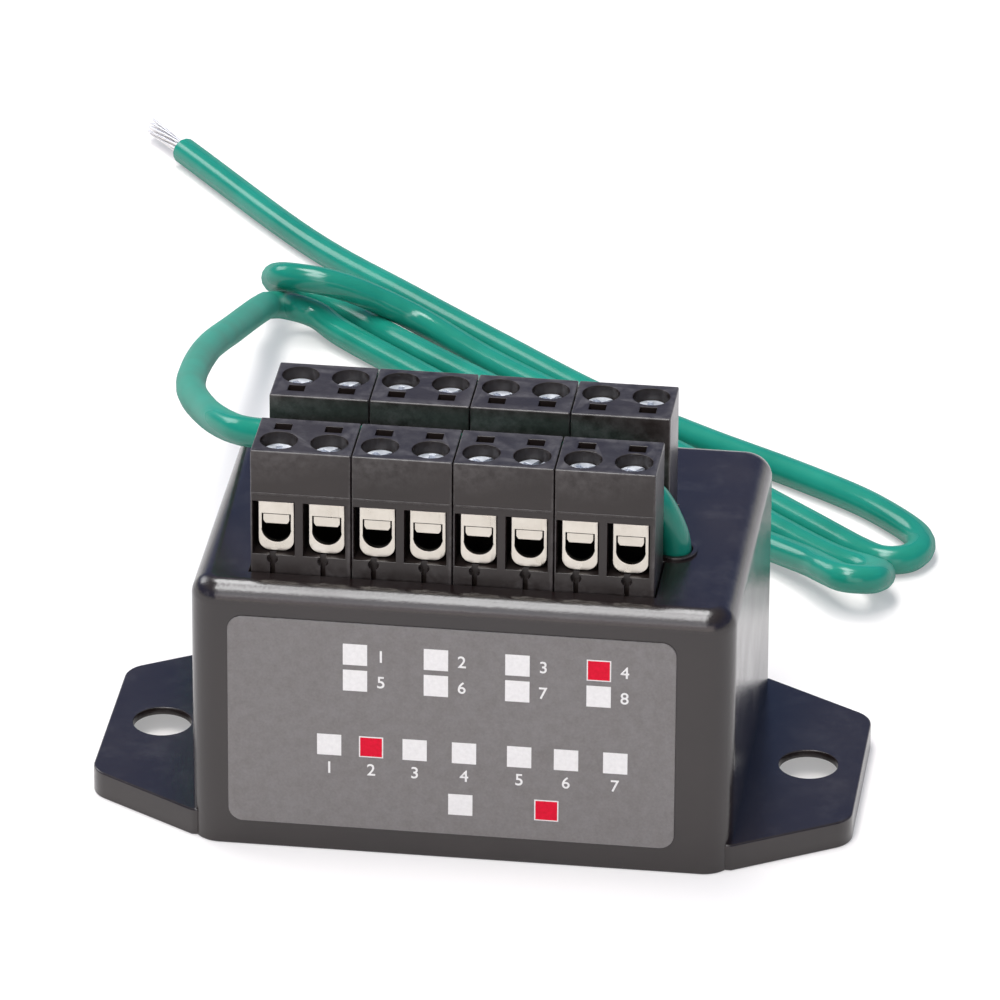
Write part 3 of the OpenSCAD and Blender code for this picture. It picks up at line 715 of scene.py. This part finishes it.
# floor, world and lamps: places and sizes in metres, floorDrop in mm
# glow is the floor's own light at the two distances of glowReach
# sweep and skyRise are heights in the world's sphere, from 0 at the horizon to 1 overhead
# each lamp of the arch has its angle over the front edge in degrees, and its power
studio = dict(floor=2.4, floorDrop=0.03, floorColour=(0.6, 0.57, 0.55), floorRough=0.9,
              glow=(0.34, 0.97), glowReach=(0.25, 1.1),
              sweepColour=(1, 1, 1), sweep=(0.1, 0.22), skyRise=(0.5, 0.8),
              lowSky=(0.13, 0.2, 0.42), highSky=(0.3, 0.32, 0.36))
arch = dict(x=-0.1, reach=0.9, size=(0.28, 0.47), aim=(0, 0, 0.02), lamps=((40, 1.0), (71, 4.6), (102, 5.0)))
frontFill = dict(place=(0.15, -1.0, 0.35), aim=(0, 0, 0.03), size=(0.9, 0.5), power=2.3, colour=(1, 0.86, 0.76))
leftBack = dict(place=(-0.8, 0.5, 0.65), aim=(0, 0.05, 0.02), size=(0.5, 0.4), power=3.0)


def makeFloor(s):
    bm = bmesh.new()
    bmesh.ops.create_grid(bm, x_segments=1, y_segments=1, size=s["floor"])
    bmesh.ops.translate(bm, vec=(0, 0, -s["floorDrop"] * mm), verts=bm.verts)
    obj = addObject("studioFloor", toMesh("studioFloor", bm))
    mat, tree, shader = newMaterial("studioFloor")
    shader.inputs["Base Color"].default_value = (*s["floorColour"], 1)
    shader.inputs["Roughness"].default_value = s["floorRough"]
    # a glow that only the camera and reflections see, stronger far out, so that the floor reads white
    path = addNode(tree, "ShaderNodeLightPath")
    place = addNode(tree, "ShaderNodeTexCoord")
    away = addNode(tree, "ShaderNodeVectorMath", operation="LENGTH")
    glow = addNode(tree, "ShaderNodeEmission")
    both = addNode(tree, "ShaderNodeAddShader")
    tree.links.new(place.outputs["Object"], away.inputs[0])
    seen = addMath(tree, "ADD", path.outputs["Is Camera Ray"], path.outputs["Is Glossy Ray"])
    seen = addMath(tree, "ADD", seen, path.outputs["Is Transmission Ray"], clamp=True)
    strength = addMath(tree, "MULTIPLY", seen, span(tree, away.outputs["Value"], s["glowReach"], s["glow"]))
    tree.links.new(strength, glow.inputs["Strength"])
    tree.links.new(shader.outputs[0], both.inputs[0])
    tree.links.new(glow.outputs[0], both.inputs[1])
    tree.links.new(both.outputs[0], tree.nodes["Material Output"].inputs["Surface"])
    obj.data.materials.append(mat)


def makeWorld(s):
    # a white sweep round the horizon, dim and bluish over it, paler above
    world = bpy.data.worlds.new("studio")
    world.use_nodes = True
    bpy.context.scene.world = world
    tree = world.node_tree
    place = addNode(tree, "ShaderNodeTexCoord")
    split = addNode(tree, "ShaderNodeSeparateXYZ")
    tree.links.new(place.outputs["Generated"], split.inputs[0])
    sky = blendColours(tree, span(tree, split.outputs["Z"], s["skyRise"]), s["lowSky"], s["highSky"])
    whole = blendColours(tree, span(tree, split.outputs["Z"], s["sweep"]), s["sweepColour"], sky)
    tree.links.new(whole, tree.nodes["Background"].inputs["Color"])


def addLamp(name, place, aim, size, power, colour=(1, 1, 1)):
    data = bpy.data.lights.new(name, "AREA")
    data.shape = "RECTANGLE"
    data.size, data.size_y = size
    data.energy = power
    data.color = colour
    lamp = addObject(name, data)
    lamp.location = place
    lamp.rotation_euler = (Vector(aim) - Vector(place)).to_track_quat("-Z", "Y").to_euler()


def makeArch(a):
    # lamps over the front edge that make the bright band along it
    for degrees, power in a["lamps"]:
        reach, rise = cos(radians(degrees)) * a["reach"], sin(radians(degrees)) * a["reach"]
        addLamp(f"arch{degrees}", (a["x"], -reach, rise), a["aim"], a["size"], power)


makeFloor(studio)
makeWorld(studio)
makeArch(arch)
addLamp("frontFill", **frontFill)
addLamp("leftBack", **leftBack)
bpy.context.scene.view_settings.view_transform = "Standard"
print("studio lit")
